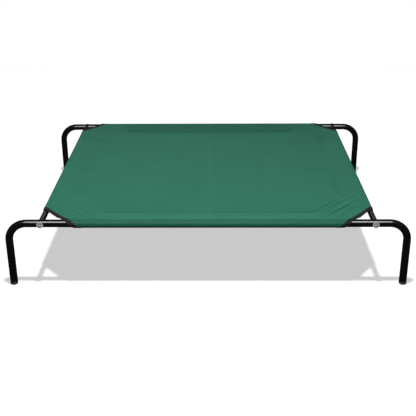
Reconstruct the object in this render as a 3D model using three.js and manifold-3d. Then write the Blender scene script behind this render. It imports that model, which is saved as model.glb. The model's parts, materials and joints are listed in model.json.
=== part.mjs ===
// Elevated dog bed: two bent rail tubes with legs, two cross tubes, and a taut sheet with four sleeves.
// Millimetres, +Z up. +X runs along the long rails and +Y from the front rail to the rear rail.
// The origin is on the floor, under the middle of the bed.
import * as THREE from 'three';
import { mergeVertices } from 'three/addons/utils/BufferGeometryUtils.js';
import Module from 'manifold-3d';

const wasm = await Module();
wasm.setup();

// ---- Driving dimensions ----
const BED_LENGTH = 1100; // over the legs
const BED_WIDTH = 800; // over the two rails
const RAIL_DIAMETER = 21;
const RAIL_WALL = 1.2;
const RAIL_AXIS_HEIGHT = 186;
const BEND_RADIUS = 50; // to the tube's axis
const CROSS_DIAMETER = 16;
const CROSS_WALL = 1;
const CROSS_TUBE_X = 450;
const CLEARANCE = 0.3; // left between pieces that touch

const SPIGOT_LENGTH = 60; // swaged end that slides into the other half of the rail
const SWAGE_LENGTH = 3; // where the tube narrows to the spigot

const BOLT_DIAMETER = 6;
const BOLT_LENGTH = 40; // under the head
const BOLT_HEAD_DIAMETER = 12;
const BOLT_HEAD_HEIGHT = 4.4;
const BOLT_POINT_CHAMFER = 1;
const RECESS_DEPTH = 2.4;
const RECESS_WIDTH = 1.6;
const RECESS_SPAN = 6.4;
const WASHER_DIAMETER = 18;
const WASHER_THICKNESS = 1.6;
const WASHER_CHAMFER = 0.3;
const BOLT_HOLE_DIAMETER = 6.6;
const INSERT_LENGTH = 20;

const CAP_BAND_HEIGHT = 8; // part of the foot cap that shows under the leg
const CAP_STEM_LENGTH = 18;
const CAP_WALL = 2;
const CAP_EDGE_RADIUS = 2.5;

const SHEET_THICKNESS = 1;
const END_HEM_DEPTH = 60; // rail axis to the front and rear hem seams
const SIDE_HEM_DEPTH = 67; // cross tube axis to the side hem seams
const HEM_TAIL = 6; // the two plies lie together this far past a hem seam
const PANEL_RISE = 1.8; // top of the flat panel above the tube axes: the sleeves pull it down to their level
const CORNER_CUT = 64; // both legs of the 45 degree corner cut, from the tube axes
const BINDING_WIDTH = 12;
const SLEEVE_END = 78; // where a sleeve starts, from the axis of the tube it meets

const TUBE_SIDES = 20;
const SMALL_SIDES = 16;
const BEND_STEPS = 8;

// ---- Derived dimensions ----
const railRadius = RAIL_DIAMETER / 2;
const railBore = railRadius - RAIL_WALL;
const crossRadius = CROSS_DIAMETER / 2;
const crossBore = crossRadius - CROSS_WALL;
const legX = BED_LENGTH / 2 - railRadius;
const railY = BED_WIDTH / 2 - railRadius;
const railTop = RAIL_AXIS_HEIGHT + railRadius;
const sleeveTop = railTop + CLEARANCE + SHEET_THICKNESS;
const sideSleeveTop = RAIL_AXIS_HEIGHT + crossRadius + CLEARANCE + SHEET_THICKNESS;
const panelTop = RAIL_AXIS_HEIGHT + PANEL_RISE;
const plyStep = 0.05; // keeps the panel's faces off the sleeves' faces where they join

// ---- Materials ----
const blackPowderCoat = { color: 0x0b0b0c, roughness: 0.32, metalness: 0.0 };
const blackPlastic = { color: 0x0d0d0d, roughness: 0.5, metalness: 0.0 };
const zincPlate = { color: 0xb9bcc0, roughness: 0.3, metalness: 1.0 };
const greenCloth = { color: 0x1f6b53, roughness: 0.9, metalness: 0.0 };
const blackTape = { color: 0x101010, roughness: 0.85, metalness: 0.0 };

const bed = new THREE.Group();

function addPiece(name, geometry, finish) {
  const mesh = new THREE.Mesh(geometry, new THREE.MeshStandardMaterial(finish));
  mesh.name = name;
  bed.add(mesh);
  return mesh;
}

// ---- Solids, for joining and cutting ----
function toSolid(geometry) {
  const bare = geometry.index ? geometry.toNonIndexed() : geometry.clone();
  bare.deleteAttribute('normal');
  bare.deleteAttribute('uv');
  const merged = mergeVertices(bare, 1e-4);
  return new wasm.Manifold(new wasm.Mesh({
    numProp: 3,
    vertProperties: new Float32Array(merged.attributes.position.array),
    triVerts: new Uint32Array(merged.index.array),
  }));
}

function toGeometry(solid) {
  const mesh = solid.getMesh();
  const geometry = new THREE.BufferGeometry();
  geometry.setAttribute('position', new THREE.BufferAttribute(mesh.vertProperties, 3));
  geometry.setIndex(new THREE.BufferAttribute(mesh.triVerts, 1));
  geometry.computeVertexNormals();
  return geometry;
}

// A path through stations with known tangents, so that a bend gets steps and a straight gets none.
class StationPath extends THREE.Curve {
  constructor(points, tangents) {
    super();
    this.points = points;
    this.tangents = tangents;
  }

  nearest(u) {
    return Math.round(u * (this.points.length - 1));
  }

  getPointAt(u) {
    return this.points[this.nearest(u)].clone();
  }

  getTangentAt(u) {
    return this.tangents[this.nearest(u)].clone();
  }
}

// A polygon whose corners lie on the circle, starting on the section's x axis.
function ringPath(radius, sides) {
  const corner = (i) => {
    const angle = (2 * Math.PI * i) / sides;
    return new THREE.Vector2(radius * Math.cos(angle), radius * Math.sin(angle));
  };
  return Array.from({ length: sides }, (_, i) => corner(i));
}

function tubeSection(outerRadius, innerRadius, sides) {
  const section = new THREE.Shape(ringPath(outerRadius, sides));
  section.holes.push(new THREE.Path(ringPath(innerRadius, sides)));
  return section;
}

// A round bar or a cutter along X, Y or Z.
function rod(axis, radius, length, sides, centre) {
  const geometry = new THREE.CylinderGeometry(radius, radius, length, sides);
  if (axis === 'x') geometry.rotateZ(Math.PI / 2);
  if (axis === 'z') geometry.rotateX(Math.PI / 2);
  return geometry.translate(...centre);
}

// ---- Rails: each long tube is two halves, bent down at the outer end into a leg ----
function railHalf(side, y, hasSpigot) {
  const points = [];
  const tangents = [];
  points.push(new THREE.Vector3(side * legX, y, CAP_BAND_HEIGHT + CLEARANCE));
  tangents.push(new THREE.Vector3(0, 0, 1));
  for (let i = 0; i <= BEND_STEPS; i += 1) {
    const turn = (Math.PI / 2) * (i / BEND_STEPS);
    points.push(new THREE.Vector3(
      side * (legX - BEND_RADIUS + BEND_RADIUS * Math.cos(turn)),
      y,
      RAIL_AXIS_HEIGHT - BEND_RADIUS + BEND_RADIUS * Math.sin(turn),
    ));
    tangents.push(new THREE.Vector3(-side * Math.sin(turn), 0, Math.cos(turn)));
  }
  const endX = hasSpigot ? CLEARANCE / 2 + SWAGE_LENGTH : CLEARANCE / 2;
  points.push(new THREE.Vector3(side * endX, y, RAIL_AXIS_HEIGHT));
  tangents.push(new THREE.Vector3(-side, 0, 0));
  const path = new StationPath(points, tangents);
  const tube = new THREE.ExtrudeGeometry(tubeSection(railRadius, railBore, TUBE_SIDES), {
    steps: points.length - 1,
    extrudePath: path,
  });
  const boltHole = rod('y', BOLT_HOLE_DIAMETER / 2, 2 * RAIL_DIAMETER, SMALL_SIDES,
    [side * CROSS_TUBE_X, y, RAIL_AXIS_HEIGHT]);
  let solid = toSolid(tube).subtract(toSolid(boltHole));
  if (hasSpigot) {
    solid = solid.add(toSolid(spigot(endX, y)));
  }
  return toGeometry(solid);
}

// The swaged end. Its root lies inside the tube's wall, so that the two join into one piece.
function spigot(startX, y) {
  const rootLength = 5;
  const rootInset = 0.3;
  const spigotRadius = railBore - CLEARANCE;
  const spigotBore = spigotRadius - RAIL_WALL;
  const neckX = startX - SWAGE_LENGTH;
  const outline = [
    [railRadius - rootInset, startX + rootLength],
    [railBore + rootInset, startX + rootLength],
    [railBore + rootInset, startX],
    [spigotBore, neckX],
    [spigotBore, neckX - SPIGOT_LENGTH],
    [spigotRadius, neckX - SPIGOT_LENGTH],
    [spigotRadius, neckX],
    [railRadius - rootInset, startX],
    [railRadius - rootInset, startX + rootLength],
  ].map(([radius, along]) => new THREE.Vector2(radius, along));
  const geometry = new THREE.LatheGeometry(outline, TUBE_SIDES);
  geometry.rotateZ(-Math.PI / 2);
  return geometry.translate(0, y, RAIL_AXIS_HEIGHT);
}

for (const [end, y] of [['front', -railY], ['rear', railY]]) {
  addPiece(`${end}_left_rail`, railHalf(-1, y, false), blackPowderCoat);
  addPiece(`${end}_right_rail`, railHalf(1, y, true), blackPowderCoat);
}

// ---- Cross tubes: straight, with each end hollowed to sit against the round rail ----
function crossTube(x) {
  const along = 2 * railY;
  const tube = new THREE.ExtrudeGeometry(tubeSection(crossRadius, crossBore, TUBE_SIDES), {
    steps: 1,
    depth: along,
    bevelEnabled: false,
  });
  tube.rotateX(Math.PI / 2);
  tube.translate(x, along / 2, RAIL_AXIS_HEIGHT);
  let solid = toSolid(tube);
  for (const y of [-railY, railY]) {
    const saddle = rod('x', railRadius + CLEARANCE, 2 * RAIL_DIAMETER, 2 * TUBE_SIDES, [x, y, RAIL_AXIS_HEIGHT]);
    solid = solid.subtract(toSolid(saddle));
  }
  return toGeometry(solid);
}

addPiece('left_cross_tube', crossTube(-CROSS_TUBE_X), blackPowderCoat);
addPiece('right_cross_tube', crossTube(CROSS_TUBE_X), blackPowderCoat);

// ---- Fasteners: a bolt and washer outside each rail, into an insert in the end of the cross tube ----
// Lathe profiles are [radius, distance], with the distance running inwards from the rail's outer face.
function turned(profile, sides) {
  const outline = profile.map(([radius, along]) => new THREE.Vector2(radius, along));
  return new THREE.LatheGeometry(outline, sides);
}

function bolt() {
  const shank = BOLT_DIAMETER / 2;
  const headRadius = BOLT_HEAD_DIAMETER / 2;
  const under = -WASHER_THICKNESS - 2 * CLEARANCE;
  const crown = under - BOLT_HEAD_HEIGHT;
  const domeDepth = 0.7 * BOLT_HEAD_HEIGHT;
  const profile = [[0, crown]];
  for (let i = 1; i <= 3; i += 1) {
    const turn = (Math.PI / 2) * (i / 3);
    profile.push([headRadius * Math.sin(turn), crown + domeDepth * (1 - Math.cos(turn))]);
  }
  profile.push([headRadius, under], [shank, under]);
  profile.push([shank, under + BOLT_LENGTH - BOLT_POINT_CHAMFER]);
  profile.push([shank - BOLT_POINT_CHAMFER, under + BOLT_LENGTH], [0, under + BOLT_LENGTH]);
  const body = turned(profile, SMALL_SIDES);
  let solid = toSolid(body);
  for (const [width, depth] of [[RECESS_WIDTH, RECESS_SPAN], [RECESS_SPAN, RECESS_WIDTH]]) {
    const slot = new THREE.BoxGeometry(width, 2 * RECESS_DEPTH, depth).translate(0, crown, 0);
    solid = solid.subtract(toSolid(slot));
  }
  return toGeometry(solid);
}

function washer() {
  const outer = WASHER_DIAMETER / 2;
  const inner = BOLT_HOLE_DIAMETER / 2;
  const near = -CLEARANCE;
  const far = near - WASHER_THICKNESS;
  return turned([
    [inner, far],
    [outer - WASHER_CHAMFER, far],
    [outer, far + WASHER_CHAMFER],
    [outer, near],
    [inner, near],
    [inner, far],
  ], TUBE_SIDES);
}

function insert() {
  const outer = crossBore - CLEARANCE;
  const inner = BOLT_DIAMETER / 2 + CLEARANCE;
  const near = RAIL_DIAMETER + 2 * CLEARANCE;
  const far = near + INSERT_LENGTH;
  return turned([[inner, near], [outer, near], [outer, far], [inner, far], [inner, near]], TUBE_SIDES);
}

// Lathe pieces are turned about Y, and the distance grows with Y. The rear ones face the other way.
function placeAtRail(geometry, x, end) {
  if (end === 'rear') geometry.rotateZ(Math.PI);
  const outerFace = BED_WIDTH / 2;
  return geometry.translate(x, end === 'rear' ? outerFace : -outerFace, RAIL_AXIS_HEIGHT);
}

for (const end of ['front', 'rear']) {
  for (const [side, x] of [['left', -CROSS_TUBE_X], ['right', CROSS_TUBE_X]]) {
    addPiece(`${end}_${side}_bolt`, placeAtRail(bolt(), x, end), zincPlate);
    addPiece(`${end}_${side}_washer`, placeAtRail(washer(), x, end), zincPlate);
    addPiece(`${end}_${side}_insert`, placeAtRail(insert(), x, end), zincPlate);
  }
}

// ---- Foot caps: a moulded cup whose stem fills the leg and whose band stands on the floor ----
function footCap() {
  const flat = railRadius - CAP_EDGE_RADIUS;
  const stem = railBore - CLEARANCE;
  const bore = stem - CAP_WALL;
  const top = CAP_BAND_HEIGHT + CAP_STEM_LENGTH;
  const profile = [[0, 0], [flat, 0]];
  for (let i = 1; i <= 4; i += 1) {
    const turn = (Math.PI / 2) * (i / 4);
    profile.push([flat + CAP_EDGE_RADIUS * Math.sin(turn), CAP_EDGE_RADIUS * (1 - Math.cos(turn))]);
  }
  profile.push([railRadius, CAP_BAND_HEIGHT], [stem, CAP_BAND_HEIGHT], [stem, top], [bore, top]);
  profile.push([bore, CAP_BAND_HEIGHT / 2], [0, CAP_BAND_HEIGHT / 2]);
  return turned(profile, TUBE_SIDES).rotateX(Math.PI / 2);
}

for (const [end, y] of [['front', -railY], ['rear', railY]]) {
  for (const [side, x] of [['left', -legX], ['right', legX]]) {
    addPiece(`${end}_${side}_foot_cap`, footCap().translate(x, y, 0), blackPlastic);
  }
}

// ---- Sheet: a flat panel with a sleeve sewn along each edge and the corners cut away ----
// A sleeve's section, with the tube's axis at (0, 0): round the tube, then tapering to the hem seam.
function sleeveOutline(radius, seamDepth, seamHeight) {
  const reach = Math.hypot(seamDepth, seamHeight);
  const lift = Math.atan2(seamHeight, seamDepth);
  const lowerTangent = lift - Math.acos(radius / reach);
  const arcSteps = 14;
  const outline = [];
  for (let i = 0; i <= arcSteps; i += 1) {
    const angle = Math.PI / 2 + (lowerTangent + 2 * Math.PI - Math.PI / 2) * (i / arcSteps);
    outline.push(new THREE.Vector2(radius * Math.cos(angle), radius * Math.sin(angle)));
  }
  outline.push(new THREE.Vector2(seamDepth, seamHeight));
  return outline;
}

function sleeve(tubeRadius, seamDepth, length) {
  const inner = tubeRadius + CLEARANCE;
  const outer = inner + SHEET_THICKNESS - plyStep;
  const seamTop = PANEL_RISE - plyStep;
  const section = new THREE.Shape(sleeveOutline(outer, seamDepth + HEM_TAIL, seamTop));
  const tunnel = sleeveOutline(inner, seamDepth, seamTop - SHEET_THICKNESS / 2);
  section.holes.push(new THREE.Path(tunnel));
  return new THREE.ExtrudeGeometry(section, { steps: 1, depth: length, bevelEnabled: false });
}

// A long block whose top is the sheet's top, lowered by drop: level in the middle and rising to both edges.
// edge is the distance of the tubes' axes from the middle, and the section is drawn across the tubes.
function dishedBlock(edge, edgeTop, reach, length, drop, outset) {
  const floor = RAIL_AXIS_HEIGHT / 2 - outset;
  const half = [
    [edge + outset, floor],
    [edge + outset, edgeTop - drop],
    [edge, edgeTop - drop],
    [edge - reach, panelTop - drop],
  ];
  const mirrored = half.map(([across, z]) => [-across, z]).reverse();
  const section = new THREE.Shape([...half, ...mirrored].map(([across, z]) => new THREE.Vector2(across, z)));
  const depth = 2 * (length + outset);
  const geometry = new THREE.ExtrudeGeometry(section, { steps: 1, depth, bevelEnabled: false });
  return geometry.translate(0, 0, -depth / 2).rotateX(Math.PI / 2);
}

// Everything under the sheet's top: the rails' dish and the cross tubes' dish together, the higher one showing.
function underTop(drop, outset) {
  const nudge = 0.01; // keeps the two level stretches off each other
  const alongX = dishedBlock(railY, sleeveTop, END_HEM_DEPTH + HEM_TAIL, CROSS_TUBE_X, drop, outset);
  alongX.rotateZ(Math.PI / 2);
  const alongY = dishedBlock(CROSS_TUBE_X, sideSleeveTop, SIDE_HEM_DEPTH + HEM_TAIL, railY, drop + nudge, outset);
  return toSolid(alongX).add(toSolid(alongY));
}

// A vertical prism over one corner, out from the 45 degree line whose legs are given.
function cornerPrism(signX, signY, leg) {
  const outside = 40;
  const x0 = CROSS_TUBE_X + outside;
  const y0 = railY + outside;
  const reach = leg + 2 * outside;
  const outline = [[x0, y0], [x0 - reach, y0], [x0, y0 - reach]];
  const section = new THREE.Shape(outline.map(([x, y]) => new THREE.Vector2(signX * x, signY * y)));
  return new THREE.ExtrudeGeometry(section, { steps: 1, depth: 2 * RAIL_AXIS_HEIGHT, bevelEnabled: false });
}

function sheetBlank() {
  const cutterOutset = 5;
  let solid = underTop(0, 0).subtract(underTop(SHEET_THICKNESS - plyStep, cutterOutset));
  const endLength = 2 * (CROSS_TUBE_X - SLEEVE_END);
  const sideLength = 2 * (railY - SLEEVE_END);
  for (const facing of [0, Math.PI]) {
    const endSleeve = sleeve(railRadius, END_HEM_DEPTH, endLength);
    endSleeve.rotateX(Math.PI / 2).rotateZ(Math.PI / 2);
    endSleeve.translate(-endLength / 2, -railY, RAIL_AXIS_HEIGHT);
    endSleeve.rotateZ(facing);
    solid = solid.add(toSolid(endSleeve));
    const sideSleeve = sleeve(crossRadius, SIDE_HEM_DEPTH, sideLength);
    sideSleeve.rotateX(Math.PI / 2);
    sideSleeve.translate(-CROSS_TUBE_X, sideLength / 2, RAIL_AXIS_HEIGHT);
    sideSleeve.rotateZ(facing);
    solid = solid.add(toSolid(sideSleeve));
  }
  return solid;
}

const blank = sheetBlank();
const corners = [];
for (const [end, signY] of [['front', -1], ['rear', 1]]) {
  for (const [side, signX] of [['left', -1], ['right', 1]]) {
    corners.push({ name: `${end}_${side}`, signX, signY });
  }
}

const boundLeg = CORNER_CUT + BINDING_WIDTH * Math.SQRT2;
let sheet = blank;
for (const { signX, signY } of corners) {
  sheet = sheet.subtract(toSolid(cornerPrism(signX, signY, boundLeg + CLEARANCE)));
}
addPiece('bed_sheet', toGeometry(sheet), greenCloth);

// ---- Corner bindings: folded tape along each corner cut, filling the strip left beside the sheet ----
for (const { name, signX, signY } of corners) {
  const strip = blank
    .intersect(toSolid(cornerPrism(signX, signY, boundLeg)))
    .subtract(toSolid(cornerPrism(signX, signY, CORNER_CUT)));
  addPiece(`${name}_binding`, toGeometry(strip), blackTape);
}

export default bed;
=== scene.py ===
"""Raised dog bed: black tube frame with bent legs, bolted cross tubes and a taut green sheet in sleeves."""
import json
import math

import bmesh
import bpy
import numpy as np
from mathutils import Matrix, Vector

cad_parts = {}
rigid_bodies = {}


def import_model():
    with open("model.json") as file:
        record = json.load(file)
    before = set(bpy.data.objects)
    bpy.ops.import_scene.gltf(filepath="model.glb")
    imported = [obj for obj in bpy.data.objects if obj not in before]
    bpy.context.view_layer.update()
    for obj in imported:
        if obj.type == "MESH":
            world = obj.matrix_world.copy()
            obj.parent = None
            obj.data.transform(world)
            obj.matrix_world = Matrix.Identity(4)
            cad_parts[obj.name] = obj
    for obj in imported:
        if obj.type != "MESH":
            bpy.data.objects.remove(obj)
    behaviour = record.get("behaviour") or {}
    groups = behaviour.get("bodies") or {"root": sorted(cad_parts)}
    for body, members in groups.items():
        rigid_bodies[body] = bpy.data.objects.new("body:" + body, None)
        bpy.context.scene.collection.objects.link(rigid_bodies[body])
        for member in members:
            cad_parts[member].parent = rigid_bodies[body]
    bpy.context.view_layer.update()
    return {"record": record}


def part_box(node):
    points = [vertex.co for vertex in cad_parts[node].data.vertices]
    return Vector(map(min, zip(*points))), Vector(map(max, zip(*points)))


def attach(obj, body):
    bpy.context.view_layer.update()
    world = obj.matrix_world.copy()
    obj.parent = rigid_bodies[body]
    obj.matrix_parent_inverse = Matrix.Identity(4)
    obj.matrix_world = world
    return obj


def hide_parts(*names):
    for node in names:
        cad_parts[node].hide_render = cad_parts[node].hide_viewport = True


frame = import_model()

# ---- Rails ------------------------------------------------------------------------------------
# Four half rails of round steel tube, bent down at the outer end into a leg. The right halves are
# swaged at the middle into a spigot that slides into the left halves. The coat is a semi-gloss
# black powder coat with a fine orange peel.
ENDS = (("front", -1), ("rear", 1))
SIDES = (("left", -1), ("right", 1))
CORNERS = [(f"{end}_{hand}", end_sign, side) for end, end_sign in ENDS for hand, side in SIDES]
rail_low, rail_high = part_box("front_left_rail")
spigot_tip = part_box("front_right_rail")[0].x
RAIL_RADIUS = (rail_high.y - rail_low.y) / 2
RAIL_WALL = 0.0012
RAIL_Y = -(rail_low.y + rail_high.y) / 2
RAIL_AXIS_Z = rail_high.z - RAIL_RADIUS
LEG_X = -rail_low.x - RAIL_RADIUS
LEG_FOOT_Z = rail_low.z
RAIL_JOINT_X = -rail_high.x
BEND_RADIUS = 0.05
BEND_STEPS = 20
LEG_RINGS = 6
RUN_RINGS = 16
RING_MARGIN = 0.01
TUBE_SIDES = 56
TUBE_BURR = 0.00025
SWAGE_LENGTH = 0.003
SPIGOT_GAP = 0.0003
bolt_low, bolt_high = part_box("front_right_bolt")
BOLT_X = (bolt_low.x + bolt_high.x) / 2
BOLT_HOLE_RADIUS = 0.0033
COAT_COLOUR = (0.0016, 0.0016, 0.0018)
COAT_DARK = (0.0012, 0.0012, 0.0014)
COAT_LIGHT = (0.0024, 0.0024, 0.0026)
COAT_ROUGHNESS = (0.18, 0.24)

AXIS_X = Vector((1, 0, 0))
AXIS_Y = Vector((0, 1, 0))
AXIS_Z = Vector((0, 0, 1))


def add_node(tree, kind, inputs=None, **settings):
    """A node of that kind, with its settings and the values of its unlinked sockets."""
    made = tree.nodes.new(kind)
    for key, value in settings.items():
        setattr(made, key, value)
    for key, value in (inputs or {}).items():
        made.inputs[key].default_value = value
    return made


def new_material(name, colour, roughness, more=None):
    """A material with its shader, ready for more nodes: returns it, its tree and the shader."""
    material = bpy.data.materials.new(name)
    material.use_nodes = True
    material.diffuse_color = (*colour, 1)
    shader = material.node_tree.nodes["Principled BSDF"]
    values = {"Base Color": (*colour, 1), "Roughness": roughness, **(more or {})}
    for socket, value in values.items():
        shader.inputs[socket].default_value = value
    return material, material.node_tree, shader


def ramp_on(tree, value, given=(0.3, 0.7), wanted=(0, 1), **settings):
    """The value's given range spread over the wanted one."""
    ends = {"From Min": given[0], "From Max": given[1], "To Min": wanted[0], "To Max": wanted[1]}
    ramp = add_node(tree, "ShaderNodeMapRange", ends, **settings)
    tree.links.new(value, ramp.inputs["Value"])
    return ramp.outputs["Result"]


def colour_between(tree, shader, low, high, value, given=(0.3, 0.7)):
    """The shader's colour runs from low to high as the value runs over its given range."""
    mix = add_node(tree, "ShaderNodeMix", data_type="RGBA")
    mix.inputs["A"].default_value = (*low, 1)
    mix.inputs["B"].default_value = (*high, 1)
    tree.links.new(ramp_on(tree, value, given), mix.inputs["Factor"])
    tree.links.new(mix.outputs["Result"], shader.inputs["Base Color"])


def bump_from(tree, shader, height, strength, distance):
    """Bump on the shader from a height output."""
    bump = add_node(tree, "ShaderNodeBump", {"Strength": strength, "Distance": distance})
    tree.links.new(height, bump.inputs["Height"])
    tree.links.new(bump.outputs["Normal"], shader.inputs["Normal"])


def noise_on(tree, vector, scale, detail=2.0, roughness=0.5):
    """A noise texture's output on that vector."""
    inputs = {"Scale": scale, "Detail": detail, "Roughness": roughness}
    noise = add_node(tree, "ShaderNodeTexNoise", inputs)
    tree.links.new(vector, noise.inputs["Vector"])
    return noise.outputs["Fac"]


def powder_coat():
    material, tree, shader = new_material("black_powder_coat", COAT_COLOUR, 0.22)
    place = add_node(tree, "ShaderNodeTexCoord").outputs["Object"]
    gloss = ramp_on(tree, noise_on(tree, place, 45, 3), wanted=COAT_ROUGHNESS)
    tree.links.new(gloss, shader.inputs["Roughness"])
    colour_between(tree, shader, COAT_DARK, COAT_LIGHT, noise_on(tree, place, 9, 2))
    bump_from(tree, shader, noise_on(tree, place, 620, 2), 0.03, 0.0002)
    return material


def link_object(name, mesh, material, sharp_angle=35):
    """An object of that mesh at the origin, shaded smooth except across edges sharper than the angle."""
    mesh.materials.clear()
    mesh.materials.append(material)
    mesh.shade_smooth()
    mesh.set_sharp_from_angle(angle=math.radians(sharp_angle))
    made = bpy.data.objects.new(name, mesh)
    bpy.context.scene.collection.objects.link(made)
    return made


def outward_mesh(name, vertices, faces, merge=False):
    """A mesh whose faces point outwards, with doubled points merged where a shell closes on its axis."""
    mesh = bpy.data.meshes.new(name)
    mesh.from_pydata(vertices, [], faces)
    shell = bmesh.new()
    shell.from_mesh(mesh)
    if merge:
        bmesh.ops.remove_doubles(shell, verts=shell.verts, dist=1e-7)
    bmesh.ops.recalc_face_normals(shell, faces=shell.faces)
    shell.to_mesh(mesh)
    shell.free()
    return mesh


def ring_faces(rings, sides, closed):
    """Faces between neighbouring rings of points, and from the last ring to the first if closed."""
    faces = []
    for ring in range(rings if closed else rings - 1):
        first = ring * sides
        second = (ring + 1) % rings * sides
        for i in range(sides):
            j = (i + 1) % sides
            faces.append((first + i, first + j, second + j, second + i))
    return faces


def ring_shell(name, rings, sides, closed):
    """A mesh through rings of (centre, u, v, radius), where radius may be a function of the angle.
    A closed one joins its last ring to its first, and an open one starts and ends on the axis."""
    vertices = []
    for centre, u, v, radius in rings:
        for i in range(sides):
            angle = 2 * math.pi * i / sides
            reach = radius(angle) if callable(radius) else radius
            vertices.append(centre + (math.cos(angle) * u + math.sin(angle) * v) * float(reach))
    return outward_mesh(name, vertices, ring_faces(len(rings), sides, closed), merge=True)


def evaluated_mesh(source):
    """The object's mesh with its modifiers applied, and the object removed."""
    bpy.context.view_layer.update()
    mesh = bpy.data.meshes.new_from_object(source.evaluated_get(bpy.context.evaluated_depsgraph_get()))
    bpy.data.objects.remove(source)
    return mesh


def cut_away(mesh, cutter_mesh):
    """The mesh with the cutter's volume taken out."""
    body = bpy.data.objects.new("body", mesh)
    cutter = bpy.data.objects.new("cutter", cutter_mesh)
    for piece in (body, cutter):
        bpy.context.scene.collection.objects.link(piece)
    boolean = body.modifiers.new("cut", "BOOLEAN")
    boolean.operation = "DIFFERENCE"
    boolean.solver = "EXACT"
    boolean.object = cutter
    cut = evaluated_mesh(body)
    bpy.data.objects.remove(cutter)
    return cut


def rail_stations(side):
    """(centre, across, outer, inner) along a half rail: up the leg, round the bend and to the middle."""
    bore = RAIL_RADIUS - RAIL_WALL
    across = side * AXIS_X
    leg = Vector((side * LEG_X, 0, 0))
    stations = [
        (leg + AXIS_Z * LEG_FOOT_Z, across, RAIL_RADIUS - TUBE_BURR, bore + TUBE_BURR),
        (leg + AXIS_Z * (LEG_FOOT_Z + TUBE_BURR), across, RAIL_RADIUS, bore),
    ]
    bend_z = RAIL_AXIS_Z - BEND_RADIUS
    for height in np.linspace(LEG_FOOT_Z + RING_MARGIN, bend_z - RING_MARGIN, LEG_RINGS):
        stations.append((leg + AXIS_Z * height, across, RAIL_RADIUS, bore))
    hub = Vector((side * (LEG_X - BEND_RADIUS), 0, bend_z))
    for turn in np.linspace(0, math.pi / 2, BEND_STEPS + 1):
        out = side * math.cos(turn) * AXIS_X + math.sin(turn) * AXIS_Z
        stations.append((hub + BEND_RADIUS * out, out, RAIL_RADIUS, bore))
    end_x = RAIL_JOINT_X if side < 0 else RAIL_JOINT_X + SWAGE_LENGTH
    run_from = LEG_X - BEND_RADIUS - 2 * RING_MARGIN
    for along in np.linspace(run_from, end_x + TUBE_BURR, RUN_RINGS):
        stations.append((Vector((side * along, 0, RAIL_AXIS_Z)), AXIS_Z, RAIL_RADIUS, bore))
    if side < 0:
        end_middle = Vector((-end_x, 0, RAIL_AXIS_Z))
        stations.append((end_middle, AXIS_Z, RAIL_RADIUS - TUBE_BURR, bore + TUBE_BURR))
        return stations
    slim = bore - SPIGOT_GAP
    slim_bore = slim - RAIL_WALL
    for along, outer, inner in (
        (end_x, RAIL_RADIUS - TUBE_BURR, bore - TUBE_BURR),
        (RAIL_JOINT_X, slim + TUBE_BURR, slim_bore + TUBE_BURR),
        (RAIL_JOINT_X - TUBE_BURR * 2, slim, slim_bore),
        (spigot_tip + TUBE_BURR * 4, slim, slim_bore),
        (spigot_tip, slim - TUBE_BURR * 3, slim_bore),
    ):
        stations.append((Vector((along, 0, RAIL_AXIS_Z)), AXIS_Z, outer, inner))
    return stations


def rail_mesh(end_sign, side):
    y = AXIS_Y * (end_sign * RAIL_Y)
    stations = rail_stations(side)
    outer = [(centre + y, across, AXIS_Y, radius) for centre, across, radius, _ in stations]
    inner = [(centre + y, across, AXIS_Y, radius) for centre, across, _, radius in reversed(stations)]
    tube = ring_shell("rail", outer + inner, TUBE_SIDES, closed=True)
    middle = Vector((side * BOLT_X, end_sign * RAIL_Y, RAIL_AXIS_Z))
    reach = 2 * RAIL_RADIUS
    hole = ((-reach, 0), (-reach, BOLT_HOLE_RADIUS), (reach, BOLT_HOLE_RADIUS), (reach, 0))
    drill = [(middle + AXIS_Y * along, AXIS_X, AXIS_Z, radius) for along, radius in hole]
    return cut_away(tube, ring_shell("drill", drill, 32, closed=False))


coat = powder_coat()
for corner, end_sign, side in CORNERS:
    rail = link_object(f"{corner}_rail_tube", rail_mesh(end_sign, side), coat)
    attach(rail, "root")
    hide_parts(f"{corner}_rail")

# ---- Cross tubes ------------------------------------------------------------------------------
# Two straight lengths of thinner tube between the rails. Each end is coped, so that it sits
# against the round rail, and has the same black coat.
cross_low, cross_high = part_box("right_cross_tube")
CROSS_RADIUS = (cross_high.x - cross_low.x) / 2
CROSS_X = (cross_high.x + cross_low.x) / 2
CROSS_WALL = 0.001
COPE_GAP = 0.0003


def coped_end(centre_x, radius, end_sign, inset):
    """The ring where a tube of that radius meets the rail's round side, as a list of points."""
    seat = RAIL_RADIUS + COPE_GAP + inset
    points = []
    for i in range(TUBE_SIDES):
        angle = 2 * math.pi * i / TUBE_SIDES
        height = radius * math.sin(angle)
        along = RAIL_Y - math.sqrt(seat**2 - height**2)
        points.append((centre_x + radius * math.cos(angle), end_sign * along, RAIL_AXIS_Z + height))
    return points


def cross_tube_mesh(centre_x):
    bore = CROSS_RADIUS - CROSS_WALL
    burr = CROSS_RADIUS - TUBE_BURR
    rings = ((burr, -1, 0), (CROSS_RADIUS, -1, TUBE_BURR), (CROSS_RADIUS, 1, TUBE_BURR), (burr, 1, 0),
             (bore, 1, 0), (bore, -1, 0))
    vertices = [point for ring in rings for point in coped_end(centre_x, *ring)]
    return outward_mesh("cross_tube", vertices, ring_faces(len(rings), TUBE_SIDES, closed=True))


for hand, side in SIDES:
    tube = link_object(f"{hand}_cross_tube_coated", cross_tube_mesh(side * CROSS_X), coat)
    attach(tube, "root")
    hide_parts(f"{hand}_cross_tube")

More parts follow.
